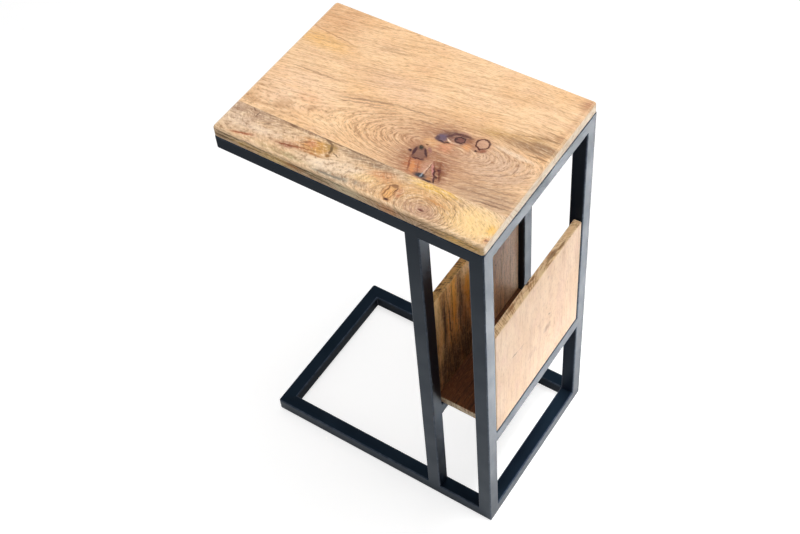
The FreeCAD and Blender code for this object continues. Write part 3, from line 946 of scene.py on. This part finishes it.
WIDE_BOARD = WoodFinish(
    name="wide_board_wood", grain=GrainAxis.LENGTHWISE,
    rings=GrowthRings(heart=(72, -26), depth=50, reach=98, face=658, power=2.0, tilt=0.15, spacing=4.4,
                      strength=0.68),
    pale=paint(247, 207, 162), warm=paint(240, 194, 144), line=paint(168, 120, 80), band=paint(208, 163, 120),
    line_strength=0.5, band_strength=0.5, fleck_strength=0.48, pore_strength=0.62, blush=paint(232, 184, 146),
    stains=WIDE_BOARD_STAINS, tints=WIDE_BOARD_TINTS, marks=WIDE_BOARD_MARKS_AND_HIGHLIGHT, knots=WIDE_BOARD_KNOTS)
NARROW_BOARD = WoodFinish(
    name="narrow_board_wood", grain=GrainAxis.LENGTHWISE,
    rings=GrowthRings(heart=(107, -127), depth=70, reach=82, face=658, spacing=4.6, strength=0.68),
    pale=paint(230, 200, 166), warm=paint(226, 184, 136), line=paint(150, 110, 76), band=paint(192, 152, 114),
    line_strength=0.6, band_strength=0.6, fleck_strength=0.78, heart_flecks=1.2, curl_strength=0.62,
    stains=NARROW_BOARD_STAINS, tints=NARROW_BOARD_TINTS, marks=NARROW_BOARD_MARKS,
    knots=(Knot((59.5, -120), (6.4, 12.5), -4, (234, 180, 112), 0.45, (124, 74, 38), 0.55,
                (212, 152, 96), 0.45, 0.16),))
OUTER_PANEL = WoodFinish(
    name="outer_panel_wood", grain=GrainAxis.UPRIGHT,
    rings=GrowthRings(heart=(-400, 30), depth=90, reach=400, face=202),
    pale=paint(246, 214, 180), warm=paint(240, 203, 164), line=paint(200, 152, 116),
    band=paint(218, 178, 140), line_strength=0.35, band_strength=0.45, fleck_strength=0.2,
    blush=paint(240, 200, 170), blush_strength=0.5, pore_strength=0.25,
    end_pale=paint(255, 224, 176), end_dark=paint(184, 132, 84),
    stains=(Stain((312, 24), (7, 10), (176, 130, 102), 0.7),
            Stain((330, 60), (90, 16), (238, 196, 164), 0.5),
            Stain((300, -20), (8, 14), (214, 172, 138), 0.6)),
    marks=(Stain((354, -66), (1.2, 9), (150, 104, 76), 0.7, 8),
           Stain((351, -48), (1.0, 8), (160, 114, 84), 0.6, 4),
           Stain((338, 30), (2.0, 5), (150, 108, 84), 0.6, 40)),
    end_marks=(Stain((-16, 191.5), (4, 2.2), (58, 24, 16), 1.0),
               Stain((-6, 193), (7, 1.6), (136, 84, 50), 0.8),
               Stain((44, 196), (13, 3), (120, 78, 46), 0.7),
               Stain((66, 199), (10, 2), (140, 92, 56), 0.7),
               Stain((-64, 194), (16, 2), (150, 100, 60), 0.6),
               Stain((92, 196), (14, 5), (246, 204, 152), 0.7)))
INNER_PANEL = WoodFinish(
    name="inner_panel_wood", grain=GrainAxis.UPRIGHT,
    rings=GrowthRings(heart=(900, -150), depth=70, reach=320, face=102),
    pale=paint(246, 198, 136), warm=paint(236, 172, 98), line=paint(58, 34, 20), band=paint(150, 100, 60),
    line_strength=0.8, band_strength=0.7, fleck_strength=0.5, curl_strength=0.3, gleam=paint(250, 212, 160),
    blush=paint(206, 162, 128), blush_strength=0.6, end_pale=paint(246, 196, 124), end_dark=paint(96, 62, 36),
    stains=(Stain((420, -104), (70, 10), (255, 216, 152), 0.85),
            Stain((385, -86), (80, 5), (84, 48, 26), 0.85),
            Stain((400, -73), (70, 6), (244, 184, 112), 0.85),
            Stain((410, -60), (80, 8), (255, 180, 76), 1.0),
            Stain((400, -44), (90, 6), (70, 36, 18), 0.9),
            Stain((340, 84), (110, 56), (226, 188, 156), 0.9),
            # Painted shade: this dark patch low on the panel stands for the shade in the slot.
            Stain((255, -70), (66, 70), (84, 42, 19), 0.9)),
    tints=(Stain((340, 90), (130, 60), (236, 202, 170), 0.72),
           # Painted shade: these three dark tints low on the panel stand for the shade in the slot.
           Stain((262, -90), (60, 9), (60, 28, 12), 0.6),
           Stain((255, -60), (76, 12), (54, 24, 10), 0.85),
           Stain((250, -32), (70, 13), (56, 25, 11), 0.8)),
    # Painted shade: the first two face tints darken the slot face low down, where the slot lies in shade. The
    # rest are the wood's golden stripe.
    face_tints_and_painted_shade=(Stain((286, -72), (44, 22), (46, 20, 8), 0.8),
                Stain((285, -34), (56, 20), (40, 16, 7), 0.85),
                Stain((356, -16), (34, 9), (196, 96, 36), 0.75),
                Stain((398, -24), (44, 9), (255, 178, 60), 1.0),
                Stain((438, -27), (15, 13), (255, 216, 156), 0.9),
                Stain((385, -96), (56, 8), (255, 214, 150), 0.5)),
    marks=(Stain((380, -84), (64, 2.6), (56, 32, 18), 0.85, 2),
           Stain((360, -72), (60, 2.2), (60, 34, 20), 0.85, -2),
           Stain((410, -64), (46, 1.4), (70, 42, 24), 0.75),
           Stain((350, -46), (60, 1.8), (66, 36, 18), 0.8, 1),
           Stain((410, -60), (50, 5), (255, 186, 84), 0.6),
           Stain((425, -104), (40, 6), (255, 214, 150), 0.5),
           Stain((330, 30), (100, 1.6), (120, 80, 50), 0.6, 2),
           Stain((350, 66), (90, 1.4), (140, 100, 70), 0.5, -1),
           Stain((320, 92), (80, 1.2), (150, 108, 78), 0.5, 1)))
# Painted shade: the rack floor's face colours are the table's wood made dark brown, standing for the shade in
# the slot. Its sawn ends keep a pale wood colour.
RACK_FLOOR_IN_PAINTED_SHADE = WoodFinish(
    name="rack_floor_wood_painted_shade", grain=GrainAxis.CROSSWISE,
    rings=GrowthRings(heart=(-40, 260), depth=50, reach=190, face=240),
    pale=paint(122, 72, 38), warm=paint(102, 56, 28), line=paint(44, 20, 10), band=paint(66, 34, 16),
    line_strength=0.8, band_strength=0.8, fleck_strength=0.4, curl_strength=0.3, gleam=paint(190, 132, 82),
    blush=paint(120, 66, 36), end_pale=paint(248, 228, 194), end_dark=paint(170, 128, 88))
# The coat's edge colour is partly wear and partly a painted highlight along the rounded edges.
FRAME_COAT = SatinCoat(
    name="satin_black_coat", colour=(0.003, 0.0046, 0.0085, 1.0), dusty=(0.0042, 0.0062, 0.011, 1.0),
    edge_wear_and_highlight=(0.066, 0.074, 0.095, 1.0), roughness=(0.34, 0.44))
ZINC_PLATE = SmallPartFinish("zinc_plate", (0.62, 0.62, 0.63, 1.0), (0.5, 0.5, 0.48, 1.0), 1.0, (0.28, 0.42),
                             (2.0, 2.0, 2.0))
DOWEL_WOOD = SmallPartFinish("raw_dowel_wood", paint(226, 196, 152), paint(204, 170, 122), 0.0, (0.6, 0.8),
                             (12.0, 0.8, 0.8))
GLIDE_PLASTIC = SmallPartFinish("moulded_plastic", (0.012, 0.012, 0.013, 1.0), (0.02, 0.02, 0.021, 1.0), 0.0,
                                (0.5, 0.65), (0.6, 0.6, 0.6))


def parallel(direction: Vector, axis: Vector) -> bool:
    """Tell whether an edge runs along an axis of the frame."""
    return abs(direction.dot(axis)) > PARALLEL


def every_edge(middle: Vector, direction: Vector) -> bool:
    """Pick all edges."""
    return True


class SubAssembly:
    """Steps that all groups of the table's pieces share."""

    def block(self, low: Vector, high: Vector) -> Shape:
        """Start a shape as a block between two corners.

        Args:
            low: Lowest corner.
            high: Highest corner.

        Returns:
            The block.
        """
        shape = bmesh.new()
        matrix = Matrix.Translation((low + high) / 2) @ Matrix.Diagonal((*(high - low), 1.0))
        bmesh.ops.create_cube(shape, size=1.0, matrix=matrix)
        return shape

    def round_edges(self, shape: Shape, radius: float, segments: int, chosen: EdgeTest = every_edge) -> None:
        """Round the sharp edges of a shape that the test picks, and mark the new faces.

        Args:
            shape: The shape to change.
            radius: Radius of the rounding.
            segments: Number of facets across it.
            chosen: Test on an edge's middle and direction.
        """
        mark = shape.faces.layers.float.get(EDGE_MARK) or shape.faces.layers.float.new(EDGE_MARK)
        edges = []
        for edge in shape.edges:
            first, second = (vertex.co for vertex in edge.verts)
            sharp = edge.calc_face_angle(0.0) > SHARP_EDGE
            if sharp and chosen((first + second) / 2, (second - first).normalized()):
                edges.append(edge)
        made = bmesh.ops.bevel(shape, geom=edges, offset=radius, segments=segments, profile=0.5,
                               affect="EDGES", material=-1)
        for face in made["faces"]:
            face[mark] = 1.0

    def mark_ends(self, shape: Shape, grain: Vector) -> None:
        """Mark the faces of a board that cut across its grain.

        Args:
            shape: The board.
            grain: Direction of the grain.
        """
        mark = shape.faces.layers.float.new(END_MARK)
        shape.normal_update()
        for face in shape.faces:
            face[mark] = float(abs(face.normal.dot(grain)) > FACING_END)

    def place(self, name: str, shape: Shape, finish: Material, slot: str, *nodes: str) -> None:
        """Turn a shape into a piece of the table that stands for its solids.

        Args:
            name: Name of the piece.
            shape: The finished shape, which is used up.
            finish: The piece's material.
            slot: Material slot of the record; not used.
            nodes: The solids that the piece stands for.
        """
        mesh = bpy.data.meshes.new(name)
        shape.to_mesh(mesh)
        shape.free()
        mesh.materials.append(finish)
        mesh.shade_smooth()
        mesh.set_sharp_from_angle(angle=SMOOTH_EDGE)
        piece = bpy.data.objects.new(name, mesh)
        bpy.context.scene.collection.objects.link(piece)
        evened = piece.modifiers.new("even_shading", "WEIGHTED_NORMAL")
        evened.weight = 100
        evened.keep_sharp = True
        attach(piece, BODY)
        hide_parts(*nodes)
        LOG.info("%s: %d faces", name, len(mesh.polygons))


@dataclass
class SteelFrame(SubAssembly):
    """The welded tubes: two mitred rectangles, four posts and two rack rails."""

    coat: Material
    tube_radius: float = 2.0 * MM
    open_corner_radius: float = 3.6 * MM
    segments: int = 5
    driver_hole: float = 10.0 * MM
    tube_wall: float = 1.5 * MM
    hole_facets: int = 32
    screw_head: float = 8.0 * MM

    def build(self) -> None:
        """Make and dress every tube of the frame."""
        for level in ("top", "base"):
            for side in Side:
                self.rail(level, side)
        for side in ("near", "far"):
            for kind in ("corner", "inner"):
                self.post(f"{side}_{kind}_post")
        for kind in ("inner", "outer"):
            self.rack_rail(f"rack_{kind}_rail")

    def rectangle(self, low: Vector, high: Vector, tube: float) -> Shape:
        """Make a whole rectangle of tube with rounded edges and more rounded corners at the open end.

        Args:
            low: Lowest corner of the rectangle.
            high: Highest corner of the rectangle.
            tube: Width of the tube.

        Returns:
            The rectangle.
        """
        shape = bmesh.new()
        flat = Vector((high.x - low.x, high.y - low.y, 1.0))
        centre = Vector(((low.x + high.x) / 2, (low.y + high.y) / 2, low.z))
        bmesh.ops.create_grid(shape, x_segments=1, y_segments=1, size=0.5,
                              matrix=Matrix.Translation(centre) @ Matrix.Diagonal((*flat, 1.0)))
        opening = shape.faces[:]
        bmesh.ops.inset_region(shape, faces=opening, thickness=tube, use_boundary=True, use_even_offset=True)
        bmesh.ops.delete(shape, geom=opening, context="FACES")
        raised = bmesh.ops.extrude_face_region(shape, geom=shape.faces[:])
        corners = [item for item in raised["geom"] if isinstance(item, bmesh.types.BMVert)]
        bmesh.ops.translate(shape, vec=(0.0, 0.0, high.z - low.z), verts=corners)
        bmesh.ops.recalc_face_normals(shape, faces=shape.faces[:])
        self.round_edges(shape, self.open_corner_radius, self.segments, lambda middle, direction:
                         parallel(direction, ALONG_Z) and middle.x < low.x + self.tube_radius)
        self.round_edges(shape, self.tube_radius, self.segments)
        return shape

    def cut(self, shape: Shape, point: Vector, outwards: Vector) -> None:
        """Saw a shape through, drop the part beyond the plane and close the end.

        Args:
            shape: The shape to cut.
            point: A point of the plane.
            outwards: Direction of the part that is dropped.
        """
        everything = [*shape.verts, *shape.edges, *shape.faces]
        sawn = bmesh.ops.bisect_plane(shape, geom=everything, plane_co=point, plane_no=outwards,
                                      clear_outer=True)
        ends = [item for item in sawn["geom_cut"] if isinstance(item, bmesh.types.BMEdge)]
        bmesh.ops.holes_fill(shape, edges=ends, sides=0)

    def rail(self, level: str, side: Side) -> None:
        """Make one mitred rail of the top or base rectangle.

        Args:
            level: "top" or "base".
            side: Side of the rectangle.
        """
        name = f"{side.name.lower()}_{level}_rail"
        rails = [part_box(f"{other.name.lower()}_{level}_rail") for other in Side]
        low = Vector(min(box[0][axis] for box in rails) for axis in range(3))
        high = Vector(max(box[1][axis] for box in rails) for axis in range(3))
        shape = self.rectangle(low, high, high.z - low.z)
        outer = Vector((*side.value, 0.0))
        along = Vector((-outer.y, outer.x, 0.0))
        for direction in (along, -along):
            corner = Vector(high[axis] if (outer + direction)[axis] > 0 else low[axis] for axis in range(3))
            self.cut(shape, corner, (direction - outer).normalized())
        self.place(f"{name}_tube", shape, self.coat, "frame_steel", name)

    def post(self, name: str) -> None:
        """Make an upright whose ends run into the rails' rounded edges, as the ground welds do.

        Args:
            name: The post's solid.
        """
        low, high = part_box(name)
        run_in = Vector((0.0, 0.0, self.tube_radius))
        shape = self.block(low - run_in, high + run_in)
        self.round_edges(shape, self.tube_radius, self.segments,
                         lambda middle, direction: parallel(direction, ALONG_Z))
        self.place(f"{name}_tube", shape, self.coat, "frame_steel", name)

    def rack_rail(self, name: str) -> None:
        """Make a rack rail with the driver holes in its underside.

        Args:
            name: The rail's solid.
        """
        low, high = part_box(name)
        start = low.y - self.tube_radius
        end = high.y + self.tube_radius
        shape = bmesh.new()
        places = ((low.x, start), (high.x, start), (high.x, end), (low.x, end))
        corners = [shape.verts.new((*place, low.z)) for place in places]
        outline = [shape.edges.new(pair) for pair in zip(corners, corners[1:] + corners[:1])]
        for screw in self.screw_places(low.x, high.x):
            bmesh.ops.create_circle(shape, segments=self.hole_facets, radius=self.driver_hole / 2,
                                    matrix=Matrix.Translation((*screw, low.z)))
        rims = [edge for edge in shape.edges if edge not in outline]
        bmesh.ops.triangle_fill(shape, use_beauty=True, edges=shape.edges[:], normal=(0.0, 0.0, -1.0))
        for edges, height in ((outline, high.z - low.z), (rims, high.z - low.z - self.tube_wall)):
            walls = bmesh.ops.extrude_edge_only(shape, edges=edges)
            upper = [item for item in walls["geom"] if isinstance(item, bmesh.types.BMVert)]
            bmesh.ops.translate(shape, vec=(0.0, 0.0, height), verts=upper)
        bmesh.ops.holes_fill(shape, edges=shape.edges[:], sides=0)
        bmesh.ops.recalc_face_normals(shape, faces=shape.faces[:])
        axis = (low.x + high.x) / 2
        self.round_edges(shape, self.tube_radius, self.segments, lambda middle, direction:
                         parallel(direction, ALONG_Y) and abs(middle.x - axis) > self.driver_hole)
        self.place(f"{name}_tube", shape, self.coat, "frame_steel", name)

    def screw_places(self, start: float, end: float) -> list[Point]:
        """List the middles of the rack screws.

        Args:
            start: Lowest place along the table.
            end: Highest place along the table.

        Returns:
            The places along and across the table of the screws in between.
        """
        low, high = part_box("rack_screws")
        head = self.screw_head / 2
        columns = [x for x in (low.x + head, high.x - head) if start < x < end]
        return [(x, y) for x in columns for y in (low.y + head, (low.y + high.y) / 2, high.y - head)]


@dataclass
class WoodTop(SubAssembly):
    """The two boards that are glued edge to edge."""

    wide_wood: Material
    narrow_wood: Material
    corner_radius: float = 5.0 * MM
    upper_radius: float = 4.0 * MM
    lower_radius: float = 2.0 * MM
    seam_break: float = 0.25 * MM
    segments: int = 5
    seam_segments: int = 2
    hair: float = 0.05 * MM

    def build(self) -> None:
        """Make and dress both boards."""
        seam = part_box("top_wide_board")[0].y
        self.board("top_wide_board", self.wide_wood, seam)
        self.board("top_narrow_board", self.narrow_wood, seam)

    def board(self, name: str, wood: Material, seam: float) -> None:
        """Make one board with rounded outer edges and a fine broken edge along the seam.

        Args:
            name: The board's solid.
            wood: The board's material.
            seam: Place of the glue seam across the table.
        """
        low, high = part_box(name)
        shape = self.block(low, high)
        half_height = (low.z + high.z) / 2

        def free(middle: Vector) -> bool:
            """Tell whether an edge lies away from the seam."""
            return abs(middle.y - seam) > self.hair

        self.round_edges(shape, self.corner_radius, self.segments, lambda middle, direction:
                         parallel(direction, ALONG_Z) and free(middle))
        self.round_edges(shape, self.upper_radius, self.segments, lambda middle, direction:
                         not parallel(direction, ALONG_Z) and free(middle) and middle.z > half_height)
        self.round_edges(shape, self.lower_radius, self.segments, lambda middle, direction:
                         not parallel(direction, ALONG_Z) and free(middle) and middle.z < low.z + self.hair)
        self.round_edges(shape, self.seam_break, self.seam_segments, lambda middle, direction:
                         parallel(direction, ALONG_X) and not free(middle))
        self.mark_ends(shape, ALONG_X)
        self.place(f"{name}_plank", shape, wood, "top_wood", name)


@dataclass
class MagazineRack(SubAssembly):
    """The two wooden sides of the rack and its floor."""

    outer_wood: Material
    inner_wood: Material
    floor_wood: Material
    panel_radius: float = 1.5 * MM
    floor_radius: float = 1.0 * MM
    segments: int = 4

    def build(self) -> None:
        """Make and dress the rack's boards."""
        self.board("rack_outer_panel", self.outer_wood, self.panel_radius, ALONG_Z)
        self.board("rack_inner_panel", self.inner_wood, self.panel_radius, ALONG_Z)
        self.board("rack_floor", self.floor_wood, self.floor_radius, ALONG_Y)

    def board(self, name: str, wood: Material, radius: float, grain: Vector) -> None:
        """Make one board with all its edges rounded.

        Args:
            name: The board's solid.
            wood: The board's material.
            radius: Radius of the edges.
            grain: Direction of the board's grain.
        """
        shape = self.block(*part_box(name))
        self.round_edges(shape, radius, self.segments)
        self.mark_ends(shape, grain)
        self.place(f"{name}_plank", shape, wood, "rack_wood", name)


@dataclass
class Fastenings(SubAssembly):
    """Corner plates, screws, dowels and glides, which keep the shapes of their solids."""

    finishes: dict[str, Material]

    def build(self) -> None:
        """Dress the small parts."""
        for name, finish in self.finishes.items():
            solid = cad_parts[name]
            solid.data.materials.clear()
            solid.data.materials.append(finish)
            LOG.info("%s: solid with %s", name, finish.name)


@dataclass(frozen=True)
class Lamp:
    """A soft box that hangs in the studio, out of the camera's sight."""

    name: str
    place: Triple
    aim: Triple
    size: Point
    watts: float
    spread: float = 180.0

    def hang(self) -> None:
        """Add the soft box to the scene."""
        data = bpy.data.lights.new(self.name, "AREA")
        data.shape = "RECTANGLE"
        data.size, data.size_y = self.size
        data.energy = self.watts
        data.spread = math.radians(self.spread)
        lamp = bpy.data.objects.new(self.name, data)
        lamp.location = self.place
        lamp.rotation_mode = "QUATERNION"
        lamp.rotation_quaternion = (Vector(self.aim) - Vector(self.place)).to_track_quat("-Z", "Y")
        lamp.visible_camera = False
        bpy.context.scene.collection.objects.link(lamp)


@dataclass
class Studio:
    """The pale floor, the soft light and the camera of the photograph."""

    lamps: tuple[Lamp, ...]
    floor_size: float = 30.0
    floor_colour: Colour = (0.5, 0.5, 0.5, 1.0)
    floor_roughness: float = 0.9
    floor_glow: float = 0.7
    # The floor's glow in mirrored rays holds a painted pool of light near the table and a painted shadow
    # under it.
    lit_reach: float = 350.0
    lit_rim: Point = (1.9, 1.1)
    lit_rest: float = 0.05
    shaded_half_size: Point = (203.0, 155.0)
    shaded_rim: Point = (0.85, 1.05)
    wall_light: float = 0.6
    ceiling_rim: Point = (0.3, 0.72)
    ceiling_light: float = 0.12
    camera_place: Triple = (0.74012, -0.98727, 1.86009)
    camera_aim: Triple = (-0.02672, -0.00637, 0.33836)
    camera_roll: float = -6.02
    lens: float = 60.512
    sensor_width: float = 36.0

    def build(self) -> None:
        """Set up the whole studio."""
        self.floor()
        self.sky()
        for lamp in self.lamps:
            lamp.hang()
        self.camera()
        bpy.context.scene.view_settings.view_transform = "Standard"

    def floor(self) -> None:
        """Lay a plain floor that shows white where the table doesn't shade it."""
        shape = bmesh.new()
        bmesh.ops.create_grid(shape, x_segments=1, y_segments=1, size=self.floor_size / 2)
        mesh = bpy.data.meshes.new("studio_floor")
        shape.to_mesh(mesh)
        shape.free()
        mesh.materials.append(self.floor_finish())
        floor = bpy.data.objects.new("studio_floor", mesh)
        bpy.context.scene.collection.objects.link(floor)

    def floor_finish(self) -> Material:
        """Make the floor's material. The steel mirrors its glow at full only near the table and outside it,
        which gives a painted shadow under the table and a painted pool of light round it.

        Returns:
            The finished material.
        """
        nodes = FinishNodes("studio_floor")
        from_camera, mirrored = nodes.ray_kinds()
        place = nodes.object_place()
        parts = nodes.split(place)
        # Painted shadow: mirrored rays see the glow dimmed to lit_rest over the table's footprint.
        shares = [nodes.math("DIVIDE", nodes.math("ABSOLUTE", parts[axis]), size)
                  for axis, size in zip("XY", self.shaded_half_size)]
        beside = nodes.ramp(nodes.math("MAXIMUM", *shares), *self.shaded_rim, self.lit_rest, 1.0)
        # Painted pool of light: the mirrored glow also fades away from the table.
        distance = nodes.spot(place, (0.0, 0.0), (self.lit_reach, self.lit_reach))
        painted_pool = nodes.ramp(distance, *self.lit_rim, self.lit_rest, 1.0)
        lit = nodes.math("MULTIPLY", mirrored, nodes.math("MULTIPLY", beside, painted_pool))
        glow = nodes.math("MULTIPLY", nodes.math("ADD", from_camera, lit), self.floor_glow)
        nodes.fill(nodes.shader, {"Base Color": self.floor_colour, "Roughness": self.floor_roughness,
                                  "Specular IOR Level": 0.0, "Emission Color": WHITE,
                                  "Emission Strength": glow})
        return nodes.material

    def sky(self) -> None:
        """Surround the table with white walls under a darker ceiling."""
        world = bpy.data.worlds.new("studio_walls")
        world.use_nodes = True
        nodes = PatternNodes(world.node_tree)
        direction = nodes.split(nodes.add("TexCoord", "Generated", {}))
        fade = nodes.ramp(direction["Z"], *self.ceiling_rim, 1.0, self.ceiling_light)
        seen = nodes.ramp(nodes.math("ADD", *nodes.ray_kinds()), 0.0, 1.0, self.wall_light, 1.0)
        background = next(node for node in world.node_tree.nodes if node.type == "BACKGROUND")
        nodes.fill(background, {"Color": WHITE, "Strength": nodes.math("MULTIPLY", seen, fade)})
        bpy.context.scene.world = world

    def camera(self) -> None:
        """Stand the camera where the photograph was taken from."""
        data = bpy.data.cameras.new("studio_camera")
        data.lens = self.lens
        data.sensor_width = self.sensor_width
        camera = bpy.data.objects.new("studio_camera", data)
        camera.location = self.camera_place
        camera.rotation_mode = "QUATERNION"
        sight = Vector(self.camera_aim) - Vector(self.camera_place)
        roll = Quaternion((0.0, 0.0, 1.0), math.radians(self.camera_roll))
        camera.rotation_quaternion = sight.to_track_quat("-Z", "Y") @ roll
        bpy.context.scene.collection.objects.link(camera)
        bpy.context.scene.camera = camera


LAMPS = (
    Lamp("overhead_soft_box", place=(0.1, 0.2, 2.4), aim=(0.0, 0.0, 0.6), size=(2.0, 2.0), watts=38.5),
    Lamp("near_fill", place=(-0.9, -1.5, 1.2), aim=(0.0, -0.14, 0.6), size=(0.8, 0.8), watts=2.5),
    Lamp("right_fill", place=(1.5, 0.3, 1.0), aim=(0.2, 0.0, 0.5), size=(0.8, 0.8), watts=4.5),
    Lamp("floor_wash", place=(0.59, 0.36, 0.6), aim=(0.59, 0.36, 0.0), size=(0.6, 1.0), watts=16.0,
         spread=40.0),
)


def main() -> None:
    """Build and dress the table group by group, then set up the studio."""
    logging.basicConfig(level=logging.INFO, format="%(message)s")
    coat = FRAME_COAT.build()
    zinc = ZINC_PLATE.build()
    dowel = DOWEL_WOOD.build()
    plastic = GLIDE_PLASTIC.build()
    SteelFrame(coat).build()
    WoodTop(WIDE_BOARD.build(), NARROW_BOARD.build()).build()
    MagazineRack(OUTER_PANEL.build(), INNER_PANEL.build(), RACK_FLOOR_IN_PAINTED_SHADE.build()).build()
    corners = [f"{side}_{end}" for side in ("near", "far") for end in ("left", "right")]
    small_parts = {f"{corner}_plate": coat for corner in corners}
    small_parts |= {f"{corner}_glide": plastic for corner in corners}
    small_parts |= {"top_screws": zinc, "rack_screws": zinc, "rack_dowels": dowel}
    Fastenings(small_parts).build()
    Studio(LAMPS).build()


if __name__ == "__main__":
    main()
